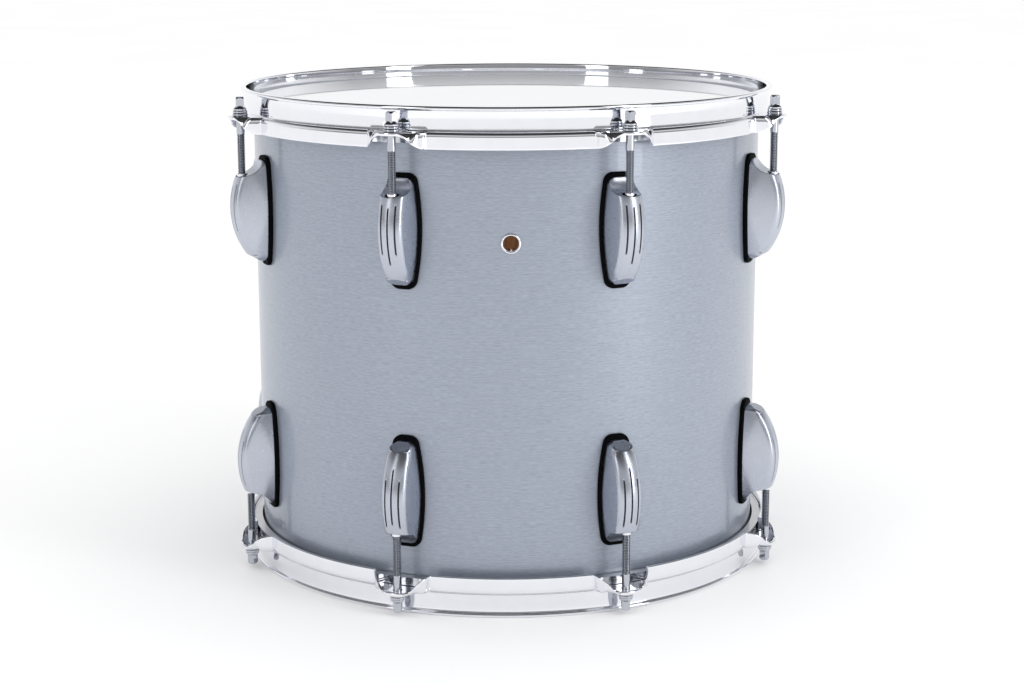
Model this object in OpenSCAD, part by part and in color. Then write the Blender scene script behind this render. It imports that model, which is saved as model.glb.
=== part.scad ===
// Cylindrical two-headed concert tom drum with single-ended tension lugs.
// Units are millimetres. Z is the drum's axis and points up, and the drum stands on its bottom
// rim at z = 0. Its top half is drawn once, with heights counted from the middle of the drum,
// and the bottom half is its mirror image. Azimuth 0 is the front, -Y, and grows towards +X.

/* [Shell] */
// Diameter of the finished shell, over its wrap
shell_d = 354; // [352:0.5:356]
// Thickness of the ply shell
shell_t = 7; // [6:0.5:8]
// Thickness of the covering wrap
wrap_t = 0.5; // [0.4:0.1:0.6]
// Distance between the two rims' outer faces
drum_h = 331; // [325:1:340]
// How far the playing surface lies below the rim
head_drop = 8.6; // [8:0.2:10]

/* [Counter hoops] */
// Thickness of the hoop's pressed steel
hoop_t = 2.3; // [2:0.1:2.4]
// Inner radius of the hoop's upright wall
hoop_wall_r = 181.7; // [181.2:0.1:181.8]
// Outer radius of the rolled lip
hoop_lip_r = 186; // [185.5:0.1:186.3]
// Outer radius of the skirt
hoop_skirt_r = 186.8; // [186.7:0.1:187.2]
// Depth from the rim to the fold between the wall and the skirt
hoop_fold_drop = 14.3; // [14:0.1:14.6]
// Depth from the rim to the skirt's free edge
hoop_skirt_drop = 26.9; // [26:0.1:28]
// Radius at the nose of an ear
ear_nose_r = 201.5; // [200:0.5:202]
// Half of an ear's flat width
ear_flat = 5; // [4.8:0.1:5.4]
// Radius of an ear's rounded outline, seen from above
ear_round = 20; // [19:0.5:21]
// Half of the width over which an ear runs out into the skirt
ear_spread = 21; // [20:0.5:22]

/* [Tension rods] */
// Number of rods on each side
rod_count = 8; // [8:1:8]
// Radius of the circle that the rods stand on
rod_circle_r = 194; // [193.5:0.1:194.2]
// Major diameter of the rod's thread
rod_d = 5.49; // [5.4:0.01:5.5]
// Length of the rod under its collar
rod_len = 60; // [58:1:62]
// Width across the flats of the square head
key_af = 5.4; // [5.3:0.1:5.6]
// Height of the square head over its collar
key_h = 7.7; // [7.4:0.1:8]

/* [Lugs] */
// Height of the gasket's lower end over the middle of the drum
lug_low = 48; // [46:0.5:50]
// Height of the gasket's upper end over the middle of the drum
lug_high = 122.6; // [121:0.2:124]
// Greatest half width of the gasket
gasket_hw = 12.6; // [12:0.1:13]
// Thickness of the gasket on the lug's centre line
gasket_t = 2.6; // [2:0.1:3]
// Radius of the arched front, seen from the side
lug_arch_r = 55; // [54:0.5:56]
// Greatest distance of the lug's front from the drum's axis
lug_front_r = 202.3; // [202:0.1:202.6]
// Spacing of a lug's two screws
screw_gap = 40; // [39:0.5:41]

/* [Vent] */
// Height of the vent over the middle of the drum
vent_z = 79; // [70:1:90]
// Diameter of the air hole
vent_d = 10; // [9:0.5:10.5]
// Diameter of the grommet's flange
vent_flange_d = 13; // [12.5:0.5:15]

/* [Hidden] */
$fn = 96;
sides = ["top", "bottom"];

mid_z = drum_h / 2;
shell_r = shell_d / 2 - wrap_t;
shell_in_r = shell_r - shell_t;
film_t = 0.25;
film_gap = 0.05;
film_tail = 2.5;
film_top = mid_z - head_drop;
edge_z = film_top - film_t;
edge_top = edge_z - film_gap;
edge_round = 1.5;
edge_r = shell_r - edge_round;
wrap_half = edge_z - 3;

lip_z = mid_z;
lip_h = 2.6;
fold_z = mid_z - hoop_fold_drop;
fold_r = 2.45;
fold_step = hoop_skirt_r - hoop_wall_r - hoop_t;
fold_a = acos(1 - fold_step / (2 * fold_r));
wall_out_r = hoop_wall_r + hoop_t;
skirt_in_r = hoop_skirt_r - hoop_t;
skirt_z = mid_z - hoop_skirt_drop;
ear_top = fold_z - fold_r + hoop_t / 2 + 0.2;
ear_hole_r = 3.2;

flesh_in_r = 178.4;
flesh_out_r = skirt_in_r - 0.3;
flesh_top = fold_z - 3.7;
flesh_low = flesh_top - 5.3;
flesh_t = 1;
resin_top = flesh_top - 1;
film_tail_r = 180.2;

washer_t = 1.7;
washer_gap = 0.1;
collar_low = ear_top + 2 * washer_t + washer_gap;
collar_h = 1.4;
collar_r = 4.5;
// How far each upper rod's head is turned; the lower rods take them in the other order
key_turns = [18, 35, 12, -38, 27, 5, -16, -20];
rod_end = collar_low - rod_len;

plane_r = shell_d / 2 + gasket_t;
case_inset = 1.6;
case_low = lug_low + 3.3;
case_high = lug_high - 2.9;
outline_mid = 88;
outline_arc_r = 170;
arch_r = lug_front_r - lug_arch_r;
arch_z = 88.3;
crown_r = 14.4;
groove_w = 0.9;
groove_depth = 0.8;
pocket_hw = 5.4;
pocket_low = 71.5;
pocket_high = 100;
groove_side = 4.7;
seat_z = 110.2;
seat_tilt = 11;
scoop_r = 14;
scoop_out_r = 194.5;
scoop_z = seat_z + (rod_circle_r - scoop_out_r) * tan(seat_tilt) + scoop_r / cos(seat_tilt);
seat_back = (rod_circle_r - scoop_out_r + scoop_r * sin(seat_tilt)) / cos(seat_tilt);
chamfer_z = 56.3;
chamfer_out_r = 192;
chamfer_tilt = 29;
recess_r = 3.9;
recess_side = 0.85;
recess_depth = 1.4;
nut_top = seat_z + 1.2;
nut_barrel_r = 3.8;
nut_flange_low = 99.5;
nut_r = 3.5;
nut_flange_r = 4.6;
nut_flange_top = 103.4;
nut_low = 86;
nut_bore_r = rod_d / 2 + 0.055;
screw_zs = [85.5 - screw_gap / 2, 85.5 + screw_gap / 2];
screw_r = 2;
screw_hole_r = 2.6;
screw_washer_t = 1;
screw_face_r = shell_in_r - 0.1;
screw_len = 18;

// Points of an arc about [cx, cy], from angle a0 to a1
function arc(cx, cy, r, a0, a1, n = 8) =
    [for (i = [0:n]) let (a = a0 + (a1 - a0) * i / n) [cx + r * cos(a), cy + r * sin(a)]];

// Smooth step from 0 to 1
function ease(t) = t <= 0 ? 0 : t >= 1 ? 1 : t * t * (3 - 2 * t);

// Drop of a rounded corner at a distance d from an end, for a corner radius rc
function corner(d, rc) = d >= rc ? 0 : rc - sqrt(max(0, rc * rc - (rc - d) * (rc - d)));

// Half width of a lug's outline at height z
function outline_hw(hw, z, lo, hi, rc) =
    hw - pow(z - outline_mid, 2) / (2 * outline_arc_r) - corner(z - lo, rc) - corner(hi - z, rc);

// Outline of a lug or its gasket, as seen from the front
function outline(hw, lo, hi, rc, n = 20) =
    let (
        zs = [for (i = [0:n]) lo + (hi - lo) * (1 - cos(180 * i / n)) / 2],
        right = [for (z = zs) [outline_hw(hw, z, lo, hi, rc), z]],
        left = [for (i = [n:-1:0]) [-right[i][0], right[i][1]]]
    )
    concat(right, left);

// Height of an ear's top face at a distance s from the rod, and the slope of that face
function ear_z(s) =
    ear_top - (ear_top - skirt_z - hoop_t) * ease((abs(s) - ear_flat) / (ear_spread - ear_flat));
function ear_slope(s) = (ear_z(s + 0.1) - ear_z(s - 0.1)) / 0.2;

// Point on the ear's sheet at a depth d below its top face, square to the face
function ear_point(s, d) =
    let (a = atan(ear_slope(s))) [s + d * sin(a), ear_z(s) - d * cos(a)];

// Azimuth of rod or lug number i
function azimuth(i) = (i - 0.5) * 360 / rod_count;

// Draws a top part in its place
module top_side() {
    translate([0, 0, mid_z]) children();
}

// Draws a bottom part in its place
module bottom_side() {
    translate([0, 0, mid_z]) mirror([0, 0, 1]) children();
}

// Draws the child on the named side of the drum
module on_side(side) {
    if (side == "top") top_side() children();
    else bottom_side() children();
}

// Turns the child, drawn at the front, to the azimuth of rod number i
module at_rod(i) {
    rotate([0, 0, azimuth(i)]) children();
}

// Extrudes a shape drawn as [tangential, z] outwards, from radius r0 to r1
module outwards(r0, r1) {
    translate([0, -r0, 0]) rotate([90, 0, 0]) linear_extrude(r1 - r0) children();
}

// Round bar that points outwards at the front, from radius r0 to r1
module radial_bar(r, r0, r1, z) {
    translate([0, -r0, z]) rotate([90, 0, 0]) cylinder(r = r, h = r1 - r0);
}

// Holes through the shell for every lug screw
module screw_holes(r0, r1) {
    for (i = [1:rod_count], z = screw_zs, m = [0, 1])
        at_rod(i) mirror([0, 0, m]) radial_bar(screw_hole_r, r0, r1, z);
}

// ---------- shell ----------

module shell() {
    edge_in = edge_top - (edge_r - shell_in_r);
    half = concat(
        [[shell_in_r, edge_in], [edge_r, edge_top]],
        arc(edge_r, edge_top - edge_round, edge_round, 75, 0, 5)
    );
    other = [for (i = [len(half) - 1:-1:0]) [half[i][0], -half[i][1]]];
    color("burlywood") translate([0, 0, mid_z]) difference() {
        rotate_extrude() polygon(concat(half, other));
        radial_bar(vent_d / 2 + 0.5, shell_in_r - 5, shell_r + 5, vent_z);
        screw_holes(shell_in_r - 5, shell_r + 5);
    }
}

module shell_wrap() {
    color("lightsteelblue") translate([0, 0, mid_z]) difference() {
        translate([0, 0, -wrap_half]) cylinder(r = shell_d / 2, h = 2 * wrap_half);
        translate([0, 0, -wrap_half - 1]) cylinder(r = shell_r, h = 2 * wrap_half + 2);
        radial_bar(vent_d / 2 + 0.5, shell_in_r, shell_r + 5, vent_z);
        screw_holes(shell_in_r, shell_r + 5);
    }
}

module vent_grommet() {
    flange_t = 1.2;
    barrel_r = vent_d / 2 + 0.4;
    color("silver") top_side() difference() {
        union() {
            radial_bar(vent_flange_d / 2, shell_d / 2, shell_d / 2 + flange_t, vent_z);
            radial_bar(barrel_r, shell_in_r - flange_t, shell_d / 2 + flange_t / 2, vent_z);
            radial_bar(vent_flange_d / 2, shell_in_r - flange_t - 0.2, shell_in_r - 0.2, vent_z);
        }
        radial_bar(vent_d / 2, shell_in_r - 10, shell_d / 2 + 10, vent_z);
    }
}

// ---------- heads ----------

// One face of the film, from the centre out over the bearing edge and down into the flesh hoop
function film_face(z, d) = concat(
    [[0, z], [edge_r, z]],
    arc(edge_r, edge_top - edge_round, edge_round + film_gap + d, 75, 20, 5),
    [[edge_r + 3.3 + d, edge_z - 4.4], [film_tail_r + d, resin_top], [film_tail_r + d, resin_top - film_tail]]
);

// Section of the film: flat playing area, collar over the bearing edge, tail in the flesh hoop
module film_section() {
    under = film_face(edge_z, 0);
    over = film_face(film_top, film_t);
    polygon(concat(under, [for (i = [len(over) - 1:-1:0]) over[i]]));
}

module film() {
    color("whitesmoke") rotate_extrude() film_section();
}

module flesh_hoop() {
    color("gainsboro") rotate_extrude() difference() {
        translate([flesh_in_r, flesh_low]) square([flesh_out_r - flesh_in_r, flesh_top - flesh_low]);
        translate([flesh_in_r + flesh_t, flesh_low + flesh_t])
            square([flesh_out_r - flesh_in_r - 2 * flesh_t, 20]);
        translate([flesh_in_r - 1, resin_top]) square([flesh_t + 2, 20]);
    }
}

module head_resin() {
    resin_r = flesh_in_r + flesh_t;
    color("darkkhaki") rotate_extrude() difference() {
        translate([resin_r, flesh_low + flesh_t])
            square([flesh_out_r - flesh_t - resin_r, resin_top - flesh_low - flesh_t]);
        film_section();
    }
}

// ---------- counter hoop ----------

// Section of the hoop between two ears: rolled lip, wall, S-shaped fold and skirt
module hoop_section() {
    upper = [hoop_wall_r + hoop_t / 2 + fold_r, fold_z];
    lower = [skirt_in_r + hoop_t / 2 - fold_r, fold_z - 2 * fold_r * sin(fold_a)];
    tight = fold_r - hoop_t / 2;
    wide = fold_r + hoop_t / 2;
    polygon(concat(
        arc(hoop_wall_r + 0.6, lip_z - 0.6, 0.6, 180, 90, 3),
        arc(hoop_lip_r - lip_h / 2, lip_z - lip_h / 2, lip_h / 2, 90, -90, 8),
        [[wall_out_r + 0.5, lip_z - lip_h], [wall_out_r, lip_z - lip_h - 0.5]],
        arc(upper[0], upper[1], tight, 180, 180 + fold_a, 4),
        arc(lower[0], lower[1], wide, fold_a - 10, 0, 5),
        arc(hoop_skirt_r - 0.5, skirt_z + 0.5, 0.5, 0, -90, 3),
        arc(skirt_in_r + 0.5, skirt_z + 0.5, 0.5, -90, -180, 3),
        arc(lower[0], lower[1], tight, 0, fold_a, 4),
        arc(upper[0], upper[1], wide, 170 + fold_a, 180, 5)
    ));
}

// Pressed sheet that runs level at the rod and down into the skirt at both sides
module ear() {
    n = 28;
    root_r = hoop_skirt_r - 1.5;
    ss = [for (i = [0:n]) -ear_spread + 2 * ear_spread * i / n];
    sheet = concat([for (s = ss) ear_point(s, 0)], [for (i = [n:-1:0]) ear_point(ss[i], hoop_t)]);
    intersection() {
        outwards(skirt_in_r, ear_nose_r + 1) polygon(sheet);
        translate([0, 0, skirt_z - 5]) linear_extrude(30) union() {
            translate([0, ear_round - ear_nose_r]) circle(r = ear_round);
            translate([-ear_spread, -root_r]) square([2 * ear_spread, root_r]);
        }
    }
}

// Opening in the skirt below an ear
module ear_opening() {
    n = 24;
    w = ear_spread * 0.93;
    ss = [for (i = [0:n]) -w + 2 * w * i / n];
    rim = [for (s = ss) [s, ear_z(s) - hoop_t]];
    outwards(skirt_in_r - 0.2, hoop_skirt_r + 0.2)
        polygon(concat(rim, [[w, skirt_z - 5], [-w, skirt_z - 5]]));
}

module counter_hoop() {
    color("silver") difference() {
        union() {
            difference() {
                rotate_extrude() hoop_section();
                for (i = [1:rod_count]) at_rod(i) ear_opening();
            }
            for (i = [1:rod_count]) at_rod(i) ear();
        }
        for (i = [1:rod_count]) at_rod(i)
            translate([0, -rod_circle_r, ear_top - hoop_t - 2]) cylinder(r = ear_hole_r, h = hoop_t + 4);
    }
}

// ---------- tension rods ----------

// Square head with broken corners and a chamfered top
module key_head() {
    corner_r = key_af * 0.645;
    intersection() {
        translate([-key_af / 2, -key_af / 2, 0]) cube([key_af, key_af, key_h]);
        rotate_extrude() polygon([
            [0, -1],
            [corner_r, -1],
            [corner_r, key_h - 1.2],
            [key_af / 2 - 0.3, key_h],
            [0, key_h],
        ]);
    }
}

module tension_rod(turn) {
    point = 0.8;
    foot_h = 1.9;
    color("silver") translate([0, -rod_circle_r, 0]) union() {
        translate([0, 0, collar_low + collar_h]) rotate([0, 0, turn]) key_head();
        rotate_extrude() polygon([
            [0, rod_end],
            [rod_d / 2 - point, rod_end],
            [rod_d / 2, rod_end + point],
            [rod_d / 2, collar_low],
            [collar_r, collar_low],
            [collar_r, collar_low + collar_h - 0.3],
            [key_af / 2 - 0.2, collar_low + collar_h + foot_h],
            [0, collar_low + collar_h + foot_h],
        ]);
    }
}

module rod_washers() {
    for (i = [1:rod_count]) at_rod(i) translate([0, -rod_circle_r, ear_top]) {
        color("dimgray") washer(5.15, 2.95, washer_t);
        color("silver") translate([0, 0, washer_t + washer_gap]) washer(4.95, 2.95, washer_t);
    }
}

// Flat ring with broken edges
module washer(r_out, r_in, t) {
    edge = 0.4;
    rotate_extrude() polygon([
        [r_in, 0],
        [r_out - edge, 0],
        [r_out, edge],
        [r_out, t - edge],
        [r_out - edge, t],
        [r_in, t],
    ]);
}

// ---------- lugs ----------

// How far the rounded front of a lug falls back at a distance u from its centre line
function crown_drop(u) = crown_r - sqrt(crown_r * crown_r - u * u);

// Solid of the casing before its pockets: a revolved section about an axis across the lug
module lug_body() {
    n = 6;
    crown_hw = 5.7;
    fillet = [[1.82, 6.79], [2.73, 7.69], [3.84, 8.33], [5.08, 8.67]];
    crown = [for (i = [-n:n]) let (u = crown_hw * i / n) [lug_arch_r - crown_drop(u), u]];
    foot = plane_r - arch_r;
    foot_hw = 11.1;
    inner = 15;
    section = concat(
        crown,
        [for (p = fillet) [lug_arch_r - p[0], p[1]]],
        [[foot, foot_hw], [inner, foot_hw], [inner, -foot_hw], [foot, -foot_hw]],
        [for (i = [3:-1:0]) [lug_arch_r - fillet[i][0], -fillet[i][1]]]
    );
    intersection() {
        translate([0, -arch_r, arch_z]) rotate([0, 90, 0]) rotate_extrude() polygon(section);
        outwards(plane_r, lug_front_r + 1)
            polygon(outline(gasket_hw - case_inset, case_low, case_high, 4.5));
    }
}

// Groove cut into the casing's front at u, between two heights
module lug_groove(u, low, high) {
    a0 = asin((low - arch_z) / lug_arch_r);
    a1 = asin((high - arch_z) / lug_arch_r);
    floor_r = lug_arch_r - crown_drop(u) - groove_depth;
    translate([0, -arch_r, arch_z]) rotate([0, 90, 0]) rotate([0, 0, -90 - a1])
        rotate_extrude(angle = a1 - a0)
            translate([floor_r, u - groove_w / 2]) square([groove_depth + 3, groove_w]);
}

// Puts the child's z = 0 plane on the seat, with the rod's axis at the origin
module on_seat() {
    translate([0, -rod_circle_r, seat_z]) rotate([seat_tilt, 0, 0]) children();
}

// Hollow behind the lug's front, between two radii
module lug_pocket(r0, r1) {
    translate([-pocket_hw, -r1, pocket_low]) cube([2 * pocket_hw, r1 - r0, pocket_high - pocket_low]);
}

module lug_casing() {
    color("lightgray") difference() {
        lug_body();
        // seat for the rod, and the scoop behind it
        on_seat() translate([-20, -30, 0]) cube([40, 30 + seat_back, 30]);
        translate([-20, -scoop_out_r, scoop_z]) rotate([0, 90, 0]) cylinder(r = scoop_r, h = 40);
        // chamfer under the closed end
        translate([0, -chamfer_out_r, chamfer_z]) rotate([-chamfer_tilt, 0, 0])
            translate([-20, -30, -20]) cube([40, 60, 20]);
        // recess round the nut, passage and flange pocket
        for (u = [-recess_side, recess_side])
            on_seat() translate([u, 0, -recess_depth]) cylinder(r = recess_r, h = recess_depth + 1);
        translate([0, -rod_circle_r, 0]) {
            translate([0, 0, nut_flange_top - 1]) cylinder(r = nut_r + 0.3, h = 12);
            translate([0, 0, nut_low])
                cylinder(r = nut_flange_r + 0.2, h = nut_flange_top + 0.1 - nut_low);
        }
        lug_pocket(plane_r - 1, rod_circle_r + 4.4);
        for (z = screw_zs) radial_bar(screw_r + 0.05, plane_r - 1, plane_r + 7.5, z);
        lug_groove(0, 65.6, 103.3);
        for (u = [-groove_side, groove_side]) lug_groove(u, 72.5, 105.3);
    }
}

module lug_gasket() {
    difference() {
        outwards(shell_in_r, plane_r) polygon(outline(gasket_hw, lug_low, lug_high, 5));
        translate([0, 0, lug_low - 5]) cylinder(r = shell_d / 2, h = lug_high - lug_low + 10, $fn = 720);
        lug_pocket(plane_r - 9, plane_r + 1);
        for (z = screw_zs) radial_bar(screw_hole_r, shell_in_r, plane_r + 1, z);
    }
}

module lug_gaskets() {
    color("black") for (i = [1:rod_count]) at_rod(i) lug_gasket();
}

module swivel_nut() {
    translate([0, -rod_circle_r, 0]) difference() {
        rotate_extrude() polygon([
            [0, nut_low],
            [nut_barrel_r, nut_low],
            [nut_barrel_r, nut_flange_low],
            [nut_flange_r, nut_flange_low],
            [nut_flange_r, nut_flange_top],
            [nut_r, nut_flange_top],
            [nut_r, nut_top - 0.9],
            [nut_r - 0.6, nut_top],
            [0, nut_top],
        ]);
        translate([0, 0, nut_low - 1]) cylinder(r = nut_bore_r, h = nut_top - nut_low + 2);
    }
}

module swivel_nuts() {
    color("silver") for (i = [1:rod_count]) at_rod(i) swivel_nut();
}

// Saddle that keeps the nut in the casing
module nut_clip() {
    difference() {
        translate([-5.2, -193, 87]) cube([10.4, 193 - plane_r - 0.4, 11.5]);
        translate([0, -rod_circle_r, 80]) cylinder(r = 3.9, h = 30);
        translate([-3, -rod_circle_r + 6.2, 88.5]) cube([6, 6.4, 8.5]);
    }
}

module nut_clips() {
    color("dimgray") for (i = [1:rod_count]) at_rod(i) nut_clip();
}

module lug_screws() {
    head_t = 3;
    color("silver") for (i = [1:rod_count], z = screw_zs) at_rod(i) {
        radial_bar(screw_r, screw_face_r - screw_washer_t, screw_face_r - screw_washer_t + screw_len, z);
        radial_bar(4, screw_face_r - screw_washer_t - head_t, screw_face_r - screw_washer_t, z);
    }
}

module lug_screw_washers() {
    color("gray") for (i = [1:rod_count], z = screw_zs) at_rod(i) difference() {
        radial_bar(5, screw_face_r - screw_washer_t, screw_face_r, z);
        radial_bar(2.2, screw_face_r - screw_washer_t - 1, screw_face_r + 1, z);
    }
}

// ---------- assembly ----------

shell();
shell_wrap();
vent_grommet();
for (s = sides) {
    on_side(s) film();
    on_side(s) flesh_hoop();
    on_side(s) head_resin();
    on_side(s) counter_hoop();
    on_side(s) rod_washers();
    on_side(s) lug_gaskets();
    on_side(s) swivel_nuts();
    on_side(s) nut_clips();
    on_side(s) lug_screws();
    on_side(s) lug_screw_washers();
    for (i = [1:rod_count]) {
        on_side(s) at_rod(i) tension_rod(key_turns[s == "top" ? i - 1 : rod_count - i]);
        on_side(s) at_rod(i) lug_casing();
    }
}
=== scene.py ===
"""Looks of the two-headed concert tom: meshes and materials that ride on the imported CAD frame.

Meshes are drawn in millimetres at the front of the upper half, with heights counted from the
middle of the drum, as (u, r, z): across, out from the axis, and up. The lower half uses the same
meshes turned over.
"""

import math

import bpy
import numpy as np
from mathutils import Matrix, Vector


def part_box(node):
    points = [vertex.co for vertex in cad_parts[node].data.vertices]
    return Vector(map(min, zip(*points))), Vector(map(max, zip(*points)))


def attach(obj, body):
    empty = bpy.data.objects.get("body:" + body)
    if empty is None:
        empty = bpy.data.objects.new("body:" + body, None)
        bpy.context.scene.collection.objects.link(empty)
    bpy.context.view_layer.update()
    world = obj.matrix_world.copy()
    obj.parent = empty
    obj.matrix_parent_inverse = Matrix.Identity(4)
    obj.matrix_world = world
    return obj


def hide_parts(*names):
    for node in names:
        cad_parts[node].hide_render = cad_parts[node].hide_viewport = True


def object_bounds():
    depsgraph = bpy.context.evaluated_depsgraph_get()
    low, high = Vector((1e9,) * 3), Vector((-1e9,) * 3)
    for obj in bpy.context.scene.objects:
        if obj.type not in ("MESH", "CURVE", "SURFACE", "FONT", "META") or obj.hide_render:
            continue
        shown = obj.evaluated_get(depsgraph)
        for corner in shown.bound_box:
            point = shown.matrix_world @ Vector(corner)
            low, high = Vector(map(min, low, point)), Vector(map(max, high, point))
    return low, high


MM = 0.001
SIDES = ("top", "bottom")
RODS = range(1, 9)
STEP_DEG = 45.0

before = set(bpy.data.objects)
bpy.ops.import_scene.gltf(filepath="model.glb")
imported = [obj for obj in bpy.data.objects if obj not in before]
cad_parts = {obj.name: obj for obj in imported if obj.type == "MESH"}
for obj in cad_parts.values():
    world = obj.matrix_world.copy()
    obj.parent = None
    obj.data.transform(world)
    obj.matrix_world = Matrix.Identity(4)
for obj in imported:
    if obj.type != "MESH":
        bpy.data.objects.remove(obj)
box_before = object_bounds()
MID_Z = (box_before[0][2] + box_before[1][2]) / 2

# radii and heights shared by several pieces, read from the frame
LIP_Z = (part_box("top_counter_hoop")[1].z - MID_Z) / MM
SKIRT_Z = (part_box("top_counter_hoop")[0].z - MID_Z) / MM
WRAP_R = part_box("shell_wrap")[1].x / MM
WRAP_TOP = (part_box("shell_wrap")[1].z - MID_Z) / MM
EAR_TOP = (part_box("top_rod_washers")[0].z - MID_Z) / MM
ROD_TOP = (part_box("top_rod_1")[1].z - MID_Z) / MM
ROD_END = (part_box("top_rod_1")[0].z - MID_Z) / MM
NUT_TOP = (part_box("top_swivel_nuts")[1].z - MID_Z) / MM
ROD_R = 194.0
PLANE_R = 179.6


# ---------- mesh tools ----------


def ease(t):
    """Smooth step from 0 to 1, for numbers or arrays."""
    t = np.clip(t, 0.0, 1.0)
    return t * t * (3 - 2 * t)


def soft_ease(t):
    """Smoother step from 0 to 1, without a kink in its curvature."""
    t = np.clip(t, 0.0, 1.0)
    return t * t * t * (10 - 15 * t + 6 * t * t)


def arc(cx, cy, r, a0, a1, n):
    """n + 1 points of an arc, angles in degrees."""
    a = np.radians(np.linspace(a0, a1, n + 1))
    return [(cx + r * math.cos(x), cy + r * math.sin(x)) for x in a]


def make_mesh(name, points, faces, sharp_deg=40, dark=None):
    """Smooth mesh from points in millimetres; dark gives each point its share of painted shade, for groove
    and thread roots and cut walls.
    """
    mesh = bpy.data.meshes.new(name)
    mesh.from_pydata((np.asarray(points, float) * MM).tolist(), [], faces)
    mesh.polygons.foreach_set("use_smooth", [True] * len(mesh.polygons))
    mesh.set_sharp_from_angle(angle=math.radians(sharp_deg))
    if dark is not None:
        layer = mesh.attributes.new("dark", "FLOAT", "POINT")
        layer.data.foreach_set("value", np.asarray(dark, np.float32).ravel())
    mesh.update()
    return mesh


def grid_faces(rows, cols, close_rows=False, close_cols=False):
    """Quads of a grid whose points are stored row by row."""
    faces = []
    for i in range(rows if close_rows else rows - 1):
        for j in range(cols if close_cols else cols - 1):
            k, m = (i + 1) % rows, (j + 1) % cols
            faces.append((i * cols + j, i * cols + m, k * cols + m, k * cols + j))
    return faces


def revolve(name, section, steps=192, closed=True, sharp_deg=40):
    """Mesh turned about the z axis from (radius, height) points."""
    section = np.asarray(section, float)
    n = len(section)
    points = np.zeros((steps, n, 3))
    for k in range(steps):
        a = 2 * math.pi * k / steps
        points[k, :, 0] = section[:, 0] * math.cos(a)
        points[k, :, 1] = section[:, 0] * math.sin(a)
        points[k, :, 2] = section[:, 1]
    faces = grid_faces(steps, n, close_rows=True, close_cols=closed)
    return make_mesh(name, points.reshape(-1, 3), faces, sharp_deg)


def front_points(u, r, z):
    """Points (u, r, z) of a part at the front as x, y, z."""
    return np.stack([u, -np.asarray(r), z], axis=-1)


def side_matrix(side, azimuth_deg=0.0):
    """Where a part drawn at the front of the upper half stands on a side, at an azimuth."""
    place = Matrix.Translation((0, 0, MID_Z)) @ Matrix.Rotation(math.radians(azimuth_deg), 4, "Z")
    return place if side == "top" else place @ Matrix.Rotation(math.pi, 4, "Y")


def azimuth(i):
    """Azimuth of rod or lug number i, from the front towards +X."""
    return (i - 0.5) * STEP_DEG


def add_piece(name, mesh, material, body, nodes, matrix):
    """Object that rides on a body and stands for CAD nodes."""
    mesh = mesh.copy()
    mesh.transform(matrix)
    mesh.name = name
    mesh.materials.clear()
    mesh.materials.append(material)
    obj = bpy.data.objects.new(name, mesh)
    bpy.context.scene.collection.objects.link(obj)
    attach(obj, body)
    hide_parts(*nodes)
    return obj


def cut(mesh, cutters, name, sharp_deg=40):
    """Mesh less the cutter meshes."""
    body = bpy.data.objects.new("cut_body", mesh)
    bpy.context.scene.collection.objects.link(body)
    tools = []
    for k, cutter in enumerate(cutters):
        tool = bpy.data.objects.new(f"cut_tool_{k}", cutter)
        bpy.context.scene.collection.objects.link(tool)
        modifier = body.modifiers.new(f"cut_{k}", "BOOLEAN")
        modifier.operation = "DIFFERENCE"
        modifier.solver = "EXACT"
        modifier.object = tool
        tools.append(tool)
    bpy.context.view_layer.update()
    result = bpy.data.meshes.new_from_object(body.evaluated_get(bpy.context.evaluated_depsgraph_get()))
    result.name = name
    for o in [body] + tools:
        bpy.data.objects.remove(o)
    result.polygons.foreach_set("use_smooth", [True] * len(result.polygons))
    result.set_sharp_from_angle(angle=math.radians(sharp_deg))
    return result


def cylinder_mesh(name, radius, low, high, steps=64):
    """Closed cylinder along z, for cutting; dark is 1 all over, so the walls it cuts take full painted
    shade.
    """
    turns = np.linspace(0, 2 * math.pi, steps, endpoint=False)
    ring = np.array([(radius * math.cos(a), radius * math.sin(a)) for a in turns])
    points = [(x, y, low) for x, y in ring] + [(x, y, high) for x, y in ring]
    faces = [(k, (k + 1) % steps, steps + (k + 1) % steps, steps + k) for k in range(steps)]
    faces += [tuple(range(steps - 1, -1, -1)), tuple(range(steps, 2 * steps))]
    return make_mesh(name, points, faces, dark=np.ones(len(points)))


def moved(mesh, matrix):
    """The mesh after a matrix in metres."""
    mesh.transform(matrix)
    return mesh


# ---------- materials ----------


# Share of the base colour that painted shade takes away where the dark attribute is 1.
GROOVE_PAINTED_SHADE = 0.9


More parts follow.
